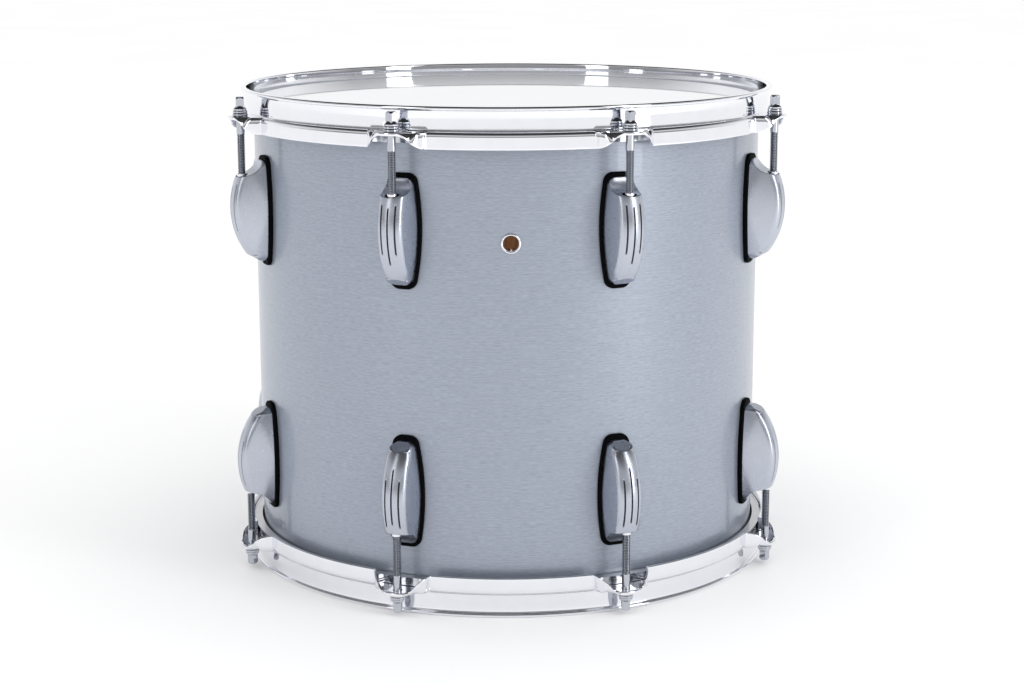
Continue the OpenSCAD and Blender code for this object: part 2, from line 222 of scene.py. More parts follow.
class Nodes:
    """Short way to build a material's node tree."""

    def __init__(self, name):
        self.material = bpy.data.materials.new(name)
        self.material.use_nodes = True
        self.tree = self.material.node_tree
        self.shader = self.tree.nodes["Principled BSDF"]
        self.coords = self.add("ShaderNodeTexCoord").outputs["Object"]

    def add(self, kind, **settings):
        node = self.tree.nodes.new(kind)
        for key, value in settings.items():
            setattr(node, key, value)
        return node

    def link(self, source, target):
        self.tree.links.new(source, target)

    def set(self, **values):
        for key, value in values.items():
            self.shader.inputs[key.replace("_", " ")].default_value = value

    def math(self, operation, a, b=0.0):
        node = self.add("ShaderNodeMath", operation=operation)
        for socket, value in zip(node.inputs, (a, b)):
            if isinstance(value, (int, float)):
                socket.default_value = value
            else:
                self.link(value, socket)
        return node.outputs[0]

    def scaled(self, x, y, z, source=None):
        """Coordinates in millimetres divided by the sizes given."""
        node = self.add("ShaderNodeMapping")
        node.inputs["Scale"].default_value = (1 / (x * MM), 1 / (y * MM), 1 / (z * MM))
        self.link(source or self.coords, node.inputs["Vector"])
        return node.outputs["Vector"]

    def noise(self, vector, scale=1.0, detail=2.0, roughness=0.5):
        node = self.add("ShaderNodeTexNoise")
        node.inputs["Scale"].default_value = scale
        node.inputs["Detail"].default_value = detail
        node.inputs["Roughness"].default_value = roughness
        self.link(vector, node.inputs["Vector"])
        return node.outputs["Fac"]

    def ramp(self, value, low, high, start=0.3, stop=0.7):
        """Maps a value between two colours."""
        node = self.add("ShaderNodeValToRGB")
        node.color_ramp.elements[0].position = start
        node.color_ramp.elements[1].position = stop
        node.color_ramp.elements[0].color = (*low, 1)
        node.color_ramp.elements[1].color = (*high, 1)
        self.link(value, node.inputs["Fac"])
        return node.outputs["Color"]

    def span(self, value, low, high):
        """Maps 0.25..0.75 to low..high."""
        node = self.add("ShaderNodeMapRange")
        for key, number in (("From Min", 0.25), ("From Max", 0.75), ("To Min", low), ("To Max", high)):
            node.inputs[key].default_value = number
        self.link(value, node.inputs["Value"])
        return node.outputs["Result"]

    def bump(self, height, strength, distance_mm):
        node = self.add("ShaderNodeBump")
        node.inputs["Strength"].default_value = strength
        node.inputs["Distance"].default_value = distance_mm * MM
        self.link(height, node.inputs["Height"])
        self.link(node.outputs["Normal"], self.shader.inputs["Normal"])

    def colour(self, source):
        self.link(source, self.shader.inputs["Base Color"])

    def rough(self, source):
        self.link(source, self.shader.inputs["Roughness"])


def metal(name, colour, shade, rough, grain_mm, bump=0.0):
    """Bare or plated metal: colour and roughness drift a little, and the dark attribute paints shade into
    grooves, thread roots and cut walls.
    """
    n = Nodes(name)
    # painted shade mask from the dark attribute: marked points get darker and rougher
    groove = n.add("ShaderNodeAttribute", attribute_name="dark").outputs["Fac"]
    n.set(Metallic=1.0)
    cloud = n.noise(n.scaled(9, 9, 9), detail=3)
    grain = n.noise(n.scaled(grain_mm, grain_mm, grain_mm), detail=2)
    dark = tuple(c * shade for c in colour)
    clean = n.add("ShaderNodeVectorMath", operation="SCALE")
    n.link(n.ramp(cloud, dark, colour), clean.inputs[0])
    # painted shade: the base colour scaled down by the mask
    n.link(n.math("SUBTRACT", 1.0, n.math("MULTIPLY", groove, GROOVE_PAINTED_SHADE)), clean.inputs["Scale"])
    n.colour(clean.outputs[0])
    n.rough(n.math("ADD", n.span(grain, *rough), n.math("MULTIPLY", groove, 0.2)))
    if bump:
        n.bump(grain, bump, 0.05)
    return n.material


def plastic(name, colour, shade, rough, grain_mm, bump=0.1, specular=0.5):
    """Rubber, plastic or resin with a fine grain."""
    n = Nodes(name)
    n.set(Specular_IOR_Level=specular)
    grain = n.noise(n.scaled(grain_mm, grain_mm, grain_mm), detail=3)
    n.colour(n.ramp(grain, tuple(c * shade for c in colour), colour))
    n.rough(n.span(grain, *rough))
    n.bump(grain, bump, 0.1)
    return n.material


def wrap_material():
    """Silver wrap brushed round the shell, under a clear gloss face."""
    n = Nodes("wrap_brushed_silver")
    xyz = n.add("ShaderNodeSeparateXYZ")
    n.link(n.coords, xyz.inputs[0])
    around = n.math("MULTIPLY", n.math("ARCTAN2", xyz.outputs["X"], xyz.outputs["Y"]), WRAP_R * MM)
    flat = n.add("ShaderNodeCombineXYZ")
    n.link(around, flat.inputs["X"])
    n.link(xyz.outputs["Z"], flat.inputs["Y"])
    fine = n.noise(n.scaled(5.0, 0.45, 1, flat.outputs[0]), detail=2, roughness=0.6)
    long = n.noise(n.scaled(24.0, 0.9, 1, flat.outputs[0]), detail=2)
    streak = n.math("ADD", n.math("MULTIPLY", fine, 0.7), n.math("MULTIPLY", long, 0.3))
    n.colour(n.ramp(streak, (0.262, 0.294, 0.356), (0.384, 0.422, 0.498), 0.33, 0.67))
    n.rough(n.span(streak, 0.36, 0.46))
    n.set(Metallic=0.55, Coat_Weight=0.55, Coat_Roughness=0.035, Coat_IOR=1.5)
    n.bump(streak, 0.06, 0.05)
    return n.material


def ply_material():
    """Ply shell: grain runs up the drum, glue lines show on cut edges."""
    n = Nodes("ply_wood")
    xyz = n.add("ShaderNodeSeparateXYZ")
    n.link(n.coords, xyz.inputs[0])
    squares = [n.math("POWER", xyz.outputs[name], 2.0) for name in ("X", "Y")]
    radius = n.math("SQRT", n.math("ADD", squares[0], squares[1]))
    layers = n.math("SINE", n.math("MULTIPLY", radius, 2 * math.pi / (1.17 * MM)))
    grain = n.noise(n.scaled(1.6, 1.6, 30), detail=4, roughness=0.6)
    mixed = n.math("ADD", grain, n.math("MULTIPLY", layers, 0.08))
    n.colour(n.ramp(mixed, (0.30, 0.130, 0.055), (0.62, 0.36, 0.18)))
    n.rough(n.span(grain, 0.45, 0.6))
    n.bump(grain, 0.15, 0.1)
    return n.material


def film_material():
    """Smooth white film with a gloss that mirrors the hoop at a low angle."""
    n = Nodes("film_smooth_white")
    cloud = n.noise(n.scaled(60, 60, 60), detail=3)
    n.colour(n.ramp(cloud, (0.735, 0.768, 0.79), (0.76, 0.788, 0.81)))
    n.rough(n.span(cloud, 0.42, 0.5))
    n.set(Coat_Weight=1.0, Coat_Roughness=0.03)
    return n.material


def make_materials():
    return {
        "chrome": metal("chrome_plate", (0.87, 0.88, 0.92), 0.97, (0.035, 0.055), 3.0),
        "nickel": metal("nickel_plate", (0.54, 0.56, 0.61), 0.93, (0.07, 0.11), 2.0),
        "satin_casting": metal("satin_chrome_casting", (0.51, 0.54, 0.61), 0.97, (0.27, 0.29), 2.5),
        "flesh_aluminium": metal("aluminium_bright", (0.55, 0.56, 0.58), 0.92, (0.12, 0.18), 1.0),
        "zinc_steel": metal("zinc_plated_steel", (0.66, 0.68, 0.70), 0.85, (0.28, 0.42), 1.2, bump=0.08),
        "gasket_rubber": plastic(
            "gasket_black_rubber", (0.002, 0.0022, 0.003), 0.6, (0.6, 0.72), 0.7, specular=0.04
        ),
        "clip_plastic": plastic("clip_black_plastic", (0.03, 0.03, 0.032), 0.7, (0.35, 0.5), 0.8),
        "resin": plastic("resin_amber", (0.55, 0.45, 0.26), 0.85, (0.2, 0.35), 3.0),
        "wrap": wrap_material(),
        "ply": ply_material(),
        "film": film_material(),
    }


# ---------- shell ----------


def vent_height():
    """Height of the vent's middle over the middle of the drum."""
    low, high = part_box("vent_grommet")
    return (low.z + high.z) / 2 / MM - MID_Z / MM


def vent_place():
    """Turns a part drawn about z so that z points out of the vent, from the drum's axis."""
    return Matrix.Translation((0, 0, vent_height() * MM)) @ Matrix.Rotation(math.pi / 2, 4, "X")


def wrap_piece(materials):
    r, h = WRAP_R, WRAP_TOP
    inner = r - 0.5
    section = [(inner, -h), (r - 0.15, -h), (r, -h + 0.15), (r, h - 0.15), (r - 0.15, h), (inner, h)]
    mesh = revolve("wrap_sheet", section, steps=360)
    hole = moved(cylinder_mesh("wrap_hole", 5.5, 150, 200), vent_place())
    mesh = cut(mesh, [hole], "wrap_cut")
    add_piece("wrap_cover", mesh, materials["wrap"], "drum_shell", ["shell_wrap"], side_matrix("top"))


def grommet_piece(materials):
    """Eyelet with a rolled flange, its barrel flared out inside the shell."""
    low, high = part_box("vent_grommet")
    face = -low.y / MM
    back = -high.y / MM
    wrap = WRAP_R
    section = [(6.5, wrap - 0.4), (6.5, wrap + 0.25)]
    section += arc(5.75, face - 0.75, 0.75, 0, 180, 8)
    section += [(5.0, wrap), (5.0, back), (6.2, back)]
    section += [(6.5, back + 0.3), (6.5, back + 0.9), (6.2, back + 1.1)]
    section += [(5.4, back + 1.1), (5.4, wrap - 0.4)]
    mesh = revolve("grommet_eyelet", section, steps=96)
    place = side_matrix("top") @ vent_place()
    add_piece("vent_eyelet", mesh, materials["chrome"], "drum_shell", ["vent_grommet"], place)


# ---------- heads ----------


def film_mesh():
    """Playing film: flat, rounded over the bearing edge, then down into its ring."""
    film_top = (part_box("top_film")[1].z - MID_Z) / MM
    tail_low = (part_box("top_film")[0].z - MID_Z) / MM
    t = 0.25
    centre_z = film_top - t - 0.05 - 1.5
    over = [(0.0, film_top), (60, film_top), (120, film_top), (165, film_top), (173, film_top)]
    over += arc(175.0, centre_z, 1.8, 90, 18, 9)
    over += [(178.75, film_top - 4.6), (180.1, 147.6), (180.45, 146.2), (180.45, tail_low)]
    under = [(180.2, tail_low), (180.2, 146.2), (179.85, 147.6), (178.4, film_top - 4.65)]
    under += arc(175.0, centre_z, 1.55, 18, 90, 9)
    under += [(173, film_top - t), (120, film_top - t), (0.0, film_top - t)]
    return revolve("film_sheet", over + under, steps=256, closed=False)


def film_pieces(materials):
    mesh = film_mesh()
    for side in SIDES:
        name, place = f"{side}_drumhead", side_matrix(side)
        add_piece(name, mesh, materials["film"], f"{side}_head", [f"{side}_film"], place)


# ---------- counter hoops ----------

SHEET = 2.3
SHEET_EDGE = 0.55
WALL_R = 182.85
BEND_R = 2.45
BEND_Z = 151.2
SKIRT_TURN = 64.6
EAR_LIFT = 0.2
EAR_ROUND = 20.0
NOSE_END = 201.5
EAR_FLAT = 5.0
EAR_SPREAD = 21.0
EAR_ROLL = 5.5
ROLL_START, ROLL_WIDTH = 11.0, 6.5
LIFT_START, LIFT_WIDTH = 9.0, 15.0
BLEND, BLEND_START, BLEND_WIDTH = 3.0, 17.0, 9.0
SHEET_STEPS = 18
COLUMN_STEP = 0.6
EAR_END = 26.0
HOOP_SHARP = 75


def ear_weight(s, start, width):
    """1 where the sheet stands out as an ear, 0 where it hangs as the skirt."""
    return 1 - float(soft_ease((abs(s) - start) / width))


def out(angle):
    """Direction square to the sheet, on its upper side."""
    return np.array([math.cos(math.radians(angle)), math.sin(math.radians(angle))])


def sheet_way(angle):
    """Direction of the sheet at an angle out from straight down."""
    return np.array([math.sin(math.radians(angle)), -math.cos(math.radians(angle))])


def ear_outline(s):
    """Outer radius of the sheet, an arc in plan round the rod, and its underside's height."""
    centre = NOSE_END - EAR_ROUND
    a = s / ROD_R
    outline = centre * math.cos(a) + math.sqrt(max(0.0, EAR_ROUND**2 - (centre * math.sin(a)) ** 2))
    skirt_r = WALL_R + BEND_R * (2 - 2 * math.cos(math.radians(SKIRT_TURN))) + SHEET / 2
    blend = BLEND * (1 - float(soft_ease((s - BLEND_START) / BLEND_WIDTH)))
    radius = (outline + skirt_r + math.hypot(outline - skirt_r, blend)) / 2
    drop = (EAR_TOP - SKIRT_Z - SHEET) * float(ease((s - EAR_FLAT) / (EAR_SPREAD - EAR_FLAT)))
    return radius, EAR_TOP - SHEET - drop


def free_sheet(s, c1):
    """Middle line past the first fold: a level ledge, a roll, then the face that hangs from it."""
    radius, low = ear_outline(s)
    roll = BEND_R + EAR_ROLL * ear_weight(s, ROLL_START, ROLL_WIDTH)
    rise = (low - (c1[1] - BEND_R - roll)) / (roll - SHEET / 2)
    hang = math.degrees(math.asin(min(1.0, max(0.0, rise))))
    c2_r = radius - (roll + SHEET / 2) * math.cos(math.radians(hang))
    gap = max(0.0, c1[0] - c2_r)
    c2 = np.array([c2_r, c1[1] - math.sqrt((BEND_R + roll) ** 2 - gap**2)])
    turn = math.degrees(math.acos(gap / (BEND_R + roll)))
    ledge = max(0.0, c2_r - c1[0])
    rolled = roll * math.radians(turn - hang)
    face = max(0.0, c2[1] - low) if hang == 0.0 else 0.0
    points, ways = [], []
    for u in np.linspace(0.0, ledge + rolled + face - SHEET_EDGE, SHEET_STEPS + 1):
        way = turn - math.degrees(min(max(0.0, u - ledge), rolled) / roll)
        past = max(0.0, u - ledge - rolled)
        points.append(c2 + roll * out(way) + (min(0.0, u - ledge) + past) * sheet_way(way))
        ways.append(way)
    return points, ways, turn


def hoop_column(s):
    """Closed section of the hoop at a distance s from a rod, as (radius, height) points."""
    half = SHEET / 2
    lift = EAR_LIFT * ear_weight(s, LIFT_START, LIFT_WIDTH)
    c1 = np.array([WALL_R + BEND_R, BEND_Z + lift])
    middle, ways, turn = free_sheet(s, c1)

    def rim(side, k):
        a = math.radians(k)
        reach = half - SHEET_EDGE + SHEET_EDGE * math.cos(a)
        return middle[-1] + SHEET_EDGE * math.sin(a) * sheet_way(ways[-1]) + side * reach * out(ways[-1])

    points = arc(WALL_R - half + 1.1, LIP_Z - 1.1, 1.1, 180, 90, 6)
    points += arc(186 - 1.3, LIP_Z - 1.3, 1.3, 90, -90, 10)
    wall = WALL_R + half
    points += [(wall + 0.45, LIP_Z - 2.6), (wall + 0.13, LIP_Z - 2.73)]
    points += [(wall, LIP_Z - 3.05), (wall, LIP_Z - 8)]
    points += arc(*c1, BEND_R - half, 180, 180 + turn, 7)
    points += [tuple(m + half * out(a)) for m, a in zip(middle[1:-1], ways[1:-1])]
    points += [tuple(rim(1, k)) for k in (0, 30, 60, 90)]
    points += [tuple(rim(-1, k)) for k in (90, 60, 30, 0)]
    points += [tuple(m - half * out(a)) for m, a in zip(middle[-2:0:-1], ways[-2:0:-1])]
    points += arc(*c1, BEND_R + half, 180 + turn, 180, 7)
    points += [(WALL_R - half, LIP_Z - 8)]
    return points


def hoop_offsets():
    """Distances from a rod at which the hoop's section is drawn, for one side of the rod."""
    ear = list(np.arange(0.0, EAR_END, COLUMN_STEP))
    half_period = ROD_R * math.radians(STEP_DEG / 2)
    plain = list(np.linspace(EAR_END + 0.5, half_period, 11))[:-1]
    return ear + plain


def hoop_mesh():
    offsets = hoop_offsets()
    left = [-s for s in offsets[:0:-1]]
    columns = []
    for i in RODS:
        columns += [(azimuth(i), s) for s in left + offsets]
        columns.append((azimuth(i) + STEP_DEG / 2, ROD_R * math.radians(STEP_DEG / 2)))
    sections = {s: np.array(hoop_column(s)) for s in set(abs(s) for _, s in columns)}
    points = []
    for start, s in columns:
        middle = start % STEP_DEG == 0.0
        a = math.radians(start) + (0 if middle else s / ROD_R)
        section = sections[abs(s)]
        radius, height = section[:, 0], section[:, 1]
        points.append(np.stack([radius * math.sin(a), -radius * math.cos(a), height], axis=-1))
    points = np.array(points)
    faces = grid_faces(len(points), points.shape[1], close_rows=True, close_cols=True)
    return make_mesh("hoop_pressing", points.reshape(-1, 3), faces, sharp_deg=HOOP_SHARP)


def hoop_pieces(materials):
    mesh = hoop_mesh()
    holes = []
    for i in RODS:
        a = math.radians(azimuth(i))
        tool = cylinder_mesh(f"ear_hole_{i}", 3.2, 144, 154, steps=40)
        at_rod = Matrix.Translation((ROD_R * MM * math.sin(a), -ROD_R * MM * math.cos(a), 0))
        holes.append(moved(tool, at_rod))
    mesh = cut(mesh, holes, "hoop_pierced", sharp_deg=HOOP_SHARP)
    for side in SIDES:
        name = f"{side}_counter_hoop"
        place = side_matrix(side)
        add_piece(f"{side}_hoop_plated", mesh, materials["chrome"], f"{side}_hoop", [name], place)


# ---------- tension rods ----------

THREAD_R = 2.745
PITCH = 1.0583
THREAD_DEPTH = 0.7
THREAD_TOP = 138.5
WASHER_T = 1.7
WASHER_GAP = 0.1
COLLAR_Z = EAR_TOP + 2 * WASHER_T + WASHER_GAP
COLLAR_H = 1.4
COLLAR_R = 4.5
KEY_HALF = 2.7
KEY_CORNER = 3.48
KEY_TOP = ROD_TOP - COLLAR_Z - COLLAR_H
KEY_TURNS = (18, 35, 12, -38, 27, 5, -16, -20)


def head_angles():
    """Angles round the rod, closer together at the square's corners."""
    quarter = [0, 9, 18, 26, 32, 36, 39.1, 42, 45, 48, 50.9, 54, 58, 64, 72, 81]
    return np.radians([a + 90 * k for k in range(4) for a in quarter])


def head_radius(angles, z):
    """Radius of the square head with its coned foot, at a height over the collar's face."""
    square = KEY_HALF / np.maximum(np.abs(np.cos(angles)), np.abs(np.sin(angles)))
    chamfer = max(0.0, z - KEY_TOP + 1.2) / 1.2
    limit = KEY_CORNER - (KEY_CORNER - KEY_HALF + 0.3) * chamfer
    cone = COLLAR_R - (z + 0.3) * 2.0 / 2.2
    return np.maximum(np.minimum(square, limit), cone)


def rod_mesh(key_turn):
    """Tension rod about its own axis: point, thread, shank, collar and turned square head."""
    angles = head_angles()
    rows, dark = [], []

    def ring(z, r, groove=0.0, turn=0.0):
        a = angles + math.radians(turn)
        r = r + np.zeros(len(a))
        rows.append(np.stack([r * np.cos(a), r * np.sin(a), np.full(len(a), z)], axis=-1))
        dark.append(groove + np.zeros(len(a)))

    ring(ROD_END, 1.2)
    ring(ROD_END + 0.05, 1.7)
    for z in np.arange(ROD_END + 0.2, THREAD_TOP + 0.6, PITCH / 6):
        phase = (z / PITCH - angles / (2 * math.pi)) % 1.0
        tooth = np.clip(np.abs(phase - 0.5) * 2.5 - 0.12, 0, 1)
        fade = float(ease((THREAD_TOP - z) / 1.6))
        point = float(np.clip((z - ROD_END) / 0.9, 0, 1))
        # thread roots take painted shade through dark, strongest at the bottom of each tooth gap
        ring(z, (THREAD_R - THREAD_DEPTH * tooth * fade) - (1 - point) * 0.9, 0.62 * tooth**1.6 * fade)
    for z in (THREAD_TOP + 1.0, THREAD_TOP + 4.0, EAR_TOP, COLLAR_Z):
        ring(z, THREAD_R)
    ring(COLLAR_Z, COLLAR_R - 0.3)
    for r, z in arc(COLLAR_R - 0.3, COLLAR_Z + 0.3, 0.3, -60, 0, 3):
        ring(z, r)
    face = COLLAR_Z + COLLAR_H
    heights = list(np.arange(-0.3, 2.0, 0.16)) + [2.5, KEY_TOP - 1.3, KEY_TOP - 1.2]
    heights += [KEY_TOP - d for d in (0.9, 0.6, 0.3, 0.05)]
    for z in heights:
        ring(face + z, head_radius(angles, z), turn=key_turn)
    ring(ROD_TOP, head_radius(angles, KEY_TOP) * 0.94, turn=key_turn)
    points = np.array(rows)
    cols = len(angles)
    faces = grid_faces(len(rows), cols, close_cols=True)
    faces.append(tuple(range(cols - 1, -1, -1)))
    last = (len(rows) - 1) * cols
    faces.append(tuple(range(last, last + cols)))
    return make_mesh("rod_turned", points.reshape(-1, 3), faces, sharp_deg=32, dark=dark)


def rod_pieces(materials):
    for side in SIDES:
        turns = KEY_TURNS if side == "top" else [-turn for turn in KEY_TURNS[::-1]]
        for i in RODS:
            out = Matrix.Translation((0, -ROD_R * MM, 0))
            place = side_matrix(side, azimuth(i)) @ out
            node = f"{side}_rod_{i}"
            mesh = rod_mesh(turns[i - 1])
            add_piece(f"{node}_plated", mesh, materials["nickel"], node, [node], place)


def washer_mesh(outer, low):
    inner, t, e = 2.95, WASHER_T, 0.6
    section = [(inner, low), (outer - e, low)]
    section += arc(outer - e, low + e, e, -60, 0, 4) + arc(outer - e, low + t - e, e, 0, 90, 5)
    section += [(inner + 0.3, low + t), (inner, low + t - 0.3)]
    return revolve("washer_ring", section, steps=64)


def washer_pieces(materials):
    lower = washer_mesh(5.15, EAR_TOP)
    upper = washer_mesh(4.95, EAR_TOP + WASHER_T + WASHER_GAP)
    for side in SIDES:
        for i in RODS:
            place = side_matrix(side, azimuth(i)) @ Matrix.Translation((0, -ROD_R * MM, 0))
            for label, mesh in (("a", lower), ("b", upper)):
                name = f"{side}_rod_washer_{i}{label}"
                nodes = [f"{side}_rod_washers"]
                add_piece(name, mesh, materials["nickel"], f"{side}_hoop", nodes, place)


# ---------- lugs ----------

ARCH_R0, ARCH_Z, ARCH_R = 147.3, 88.3, 55.0
SEAT_Z = 110.2
CASE_LOW, CASE_HIGH = 51.3, 119.7
SEAT_TILT = math.radians(11)
SCOOP_R0, SCOOP_R = 194.5, 14.0
SCOOP_Z = SEAT_Z + (ROD_R - SCOOP_R0) * math.tan(SEAT_TILT) + SCOOP_R / math.cos(SEAT_TILT)
SEAT_BACK = SCOOP_R0 - SCOOP_R * math.sin(SEAT_TILT)
CROWN_R, CROWN_HALF = 14.4, 5.69
FILLET_R, FILLET_U, FILLET_RHO = 5.0, 3.7145, 49.235
FLANK_U, FLANK_RHO, FLANK_SLOPE = 8.6675, 49.919, 0.1381
EDGE_R = 0.5
GROOVE_DEPTH = 0.8


def corner_drop(d, rc):
    """How much narrower an outline is at a distance d from an end rounded with radius rc."""
    d = np.clip(d, 0, rc)
    return rc - np.sqrt(np.maximum(0, rc * rc - (rc - d) ** 2))


def outline_half(hw, z, low, high, rc):
    """Half width of a lug's or gasket's outline at height z."""
    return hw - (z - 88) ** 2 / 340 - corner_drop(z - low, rc) - corner_drop(high - z, rc)


def crown_height(u):
    """Distance from the arch's axis at a distance u from the lug's centre line."""
    u = abs(u)
    if u <= CROWN_HALF:
        return ARCH_R - CROWN_R + math.sqrt(CROWN_R**2 - u * u)
    if u <= FLANK_U:
        return FILLET_RHO + math.sqrt(max(0.0, FILLET_R**2 - (u - FILLET_U) ** 2))
    return FLANK_RHO - (u - FLANK_U) / FLANK_SLOPE


def flank_half(rho):
    """Half width of the casing's slightly rounded side at a distance rho from the arch's axis."""
    down = FLANK_RHO - rho
    bulge = 0.35 * math.sin(math.pi * min(1.0, max(0.0, down / 17.6)))
    return FLANK_U + down * FLANK_SLOPE + bulge


def lug_top(r):
    """Height of the seat and the scoop behind it, at a distance r from the drum's axis."""
    if r >= SEAT_BACK:
        return SEAT_Z - (r - ROD_R) * math.tan(SEAT_TILT)
    return SCOOP_Z - math.sqrt(max(0.0, SCOOP_R**2 - (r - SCOOP_R0) ** 2))


def edge_trim(r, z):
    """How far a wall falls back just under the lug's top edge, which is rounded."""
    depth = min(EDGE_R, max(0.0, lug_top(r) - z))
    return EDGE_R - math.sqrt(max(0.0, EDGE_R**2 - (EDGE_R - depth) ** 2))


def lug_rows():
    """(height, reach) pairs up the lug: reach is how far out the ends and seat let it stand."""
    far = 400.0
    rows = [(CASE_LOW + 0.02 * k, r) for k, r in enumerate((179.7, 180.8, 181.9, 182.6, 182.95))]
    rows += [(CASE_LOW + d, 183 + 1.8 * d) for d in (0.2, 0.4, 0.7, 1.1, 1.6, 2.2, 2.9, 3.6, 4.2, 4.6, 4.85)]
    rows += [(CASE_LOW + d, 191.75 + (d - 4.85) * 1.6) for d in (5.0, 5.15, 5.35, 5.6)]
    rows += [(z, far) for z in np.arange(57.3, 64.5, 0.8)]
    rows += [(z, far) for z in np.arange(65.0, 108.7, 0.55)]
    rows += [(z, far) for z in (108.8, 108.95, 109.08, 109.2, 109.3, 109.38, 109.44, 109.48)]
    rows += [(lug_top(r), r) for r in np.arange(197.5, SEAT_BACK, -0.45)]
    for a in np.radians([13, 17, 22, 27, 32, 37, 42, 47, 52, 57, 62, 66, 68.8]):
        rows.append((SCOOP_Z - SCOOP_R * math.cos(a), SCOOP_R0 - SCOOP_R * math.sin(a)))
    rows += [(CASE_HIGH - d, r) for d, r in ((0.1, 181.2), (0.03, 180.9), (0.0, 180.5), (-0.01, 179.7))]
    return rows


CROWN_STEPS = [FLANK_U, 8.6, 8.5, 8.35, 8.15, 7.9, 7.6, 7.2, 6.8, 6.3, 5.9, 5.6, 5.4, 5.25]
CROWN_STEPS += [5.12, 5.0, 4.85, 4.7, 4.55, 4.4, 4.28, 4.15, 4.0]
CROWN_STEPS += [3.4, 2.7, 2.0, 1.3, 0.75, 0.58, 0.45, 0.3, 0.15, 0.0]


def groove_depth(u, z):
    """Depth of the three grooves in the lug's front."""
    depth = 0.0
    for centre, low, high in ((0.0, 65.6, 103.3), (4.7, 72.5, 105.3), (-4.7, 72.5, 105.3)):
        across = max(0.0, 1 - (abs(u - centre) / 0.5) ** 4)
        along = float(ease((z - low) / 1.6)) * float(ease((high - z) / 1.6))
        depth = max(depth, GROOVE_DEPTH * min(1.0, 1.6 * across) * along)
    return depth


def lug_row(z, reach):
    """Half section of the casing at height z: (u, r) from base to centre line, and painted shade marks in
    the grooves.
    """
    out = outline_half(11.0, z, CASE_LOW, CASE_HIGH, 4.5)
    dz = z - ARCH_Z
    corner_r = ARCH_R0 + math.sqrt(FLANK_RHO**2 - dz * dz)
    top = min(corner_r, reach)

    def side(r):
        rho = math.hypot(r - ARCH_R0, dz)
        return min(flank_half(rho), out) - edge_trim(r, z)

    tall = top - PLANE_R
    fine = min(1.0, tall / 2.4)
    depths = [tall * f for f in (1.0, 0.86, 0.72, 0.58, 0.44, 0.3)]
    depths += [1.3 * fine * 0.9, 0.9 * fine, 0.6 * fine, 0.3 * fine]
    depths = sorted(set(round(d, 6) for d in depths), reverse=True)
    while len(depths) < 10:
        depths.append(depths[-1] * 0.5)
    points = [(side(top - d), top - d) for d in depths]
    dark = [0.0] * len(depths)
    wide = side(top)
    for step in CROWN_STEPS:
        u = wide * step / CROWN_STEPS[0]
        rho = crown_height(step if wide > 8.0 else u)
        front = ARCH_R0 + math.sqrt(max(1.0, rho * rho - dz * dz))
        front -= edge_trim(front, z)
        groove = groove_depth(step, z) if front < reach else 0.0
        points.append((u, min(front - groove, reach)))
        # painted shade in the grooves, as strong as the groove is deep
        dark.append(groove / GROOVE_DEPTH)
    return soften(points, len(depths), 0.55 if reach < corner_r else 0.25), np.array(dark)


def soften(points, corner, radius):
    """Rounds the corner point of a section: points nearer than radius move onto a curve."""
    p = np.array(points)
    c = p[corner]
    before, after = p[corner - 1] - c, p[min(corner + 6, len(p) - 1)] - c
    radius = min(radius, 0.45 * np.linalg.norm(p[0] - c) + 1e-6, 0.45 * abs(c[0]) + 1e-6)
    a = before / max(1e-9, np.linalg.norm(before))
    b = after / max(1e-9, np.linalg.norm(after))
    for k in range(len(p)):
        d = np.linalg.norm(p[k] - c)
        if d >= radius:
            continue
        t = (1 - d / radius) / 2 if k < corner else (1 + d / radius) / 2
        p[k] = (1 - t) ** 2 * (c + a * radius) + 2 * t * (1 - t) * c + t * t * (c + b * radius)
    return p


def lug_mesh():
    """Casing as one closed skin: rows up the lug, each from one side's base over to the other."""
    rows, dark = [], []
    for z, reach in lug_rows():
        half, marks = lug_row(z, reach)
        u = np.concatenate([half[:, 0], -half[-2::-1, 0]])
        r = np.concatenate([half[:, 1], half[-2::-1, 1]])
        rows.append(front_points(u, r, np.full(len(u), z)))
        dark.append(np.concatenate([marks, marks[-2::-1]]))
    points = np.array(rows)
    n, cols = points.shape[0], points.shape[1]
    faces = grid_faces(n, cols)
    for k in range(n - 1):
        faces.append((k * cols, k * cols + cols - 1, (k + 1) * cols + cols - 1, (k + 1) * cols))
    faces += [tuple(range(cols - 1, -1, -1)), tuple(range((n - 1) * cols, n * cols))]
    return make_mesh("lug_casing_skin", points.reshape(-1, 3), faces, sharp_deg=55, dark=dark)


def seat_place():
    """Matrix that lays a part drawn at the origin on the tilted seat."""
    return Matrix.Translation((0, -ROD_R * MM, SEAT_Z * MM)) @ Matrix.Rotation(SEAT_TILT, 4, "X")


def recess_mesh():
    """Cutter for the oval recess round the nut; its walls take full painted shade through dark."""
    n = 64
    ring = []
    for k in range(n):
        a = 2 * math.pi * k / n
        ring.append((3.9 * math.cos(a) + (0.85 if math.cos(a) > 0 else -0.85), 3.9 * math.sin(a)))
    points = [(x, y, -1.4) for x, y in ring] + [(x, y, 1.2) for x, y in ring]
    faces = [(k, (k + 1) % n, n + (k + 1) % n, n + k) for k in range(n)]
    faces += [tuple(range(n - 1, -1, -1)), tuple(range(n, 2 * n))]
    return moved(make_mesh("recess_tool", points, faces, dark=np.ones(2 * n)), seat_place())


def lug_pieces(materials):
    at_rod = Matrix.Translation((0, -ROD_R * MM, 0))
    passage = moved(cylinder_mesh("nut_passage", 3.8, 100, SEAT_Z - 1), at_rod)
    mesh = cut(lug_mesh(), [recess_mesh(), passage], "lug_casing", sharp_deg=55)
    for side in SIDES:
        for i in RODS:
            node = f"{side}_lug_{i}"
            place = side_matrix(side, azimuth(i))
            add_piece(
                f"{node}_casing", mesh, materials["satin_casting"],
                "drum_shell", [node], place
            )


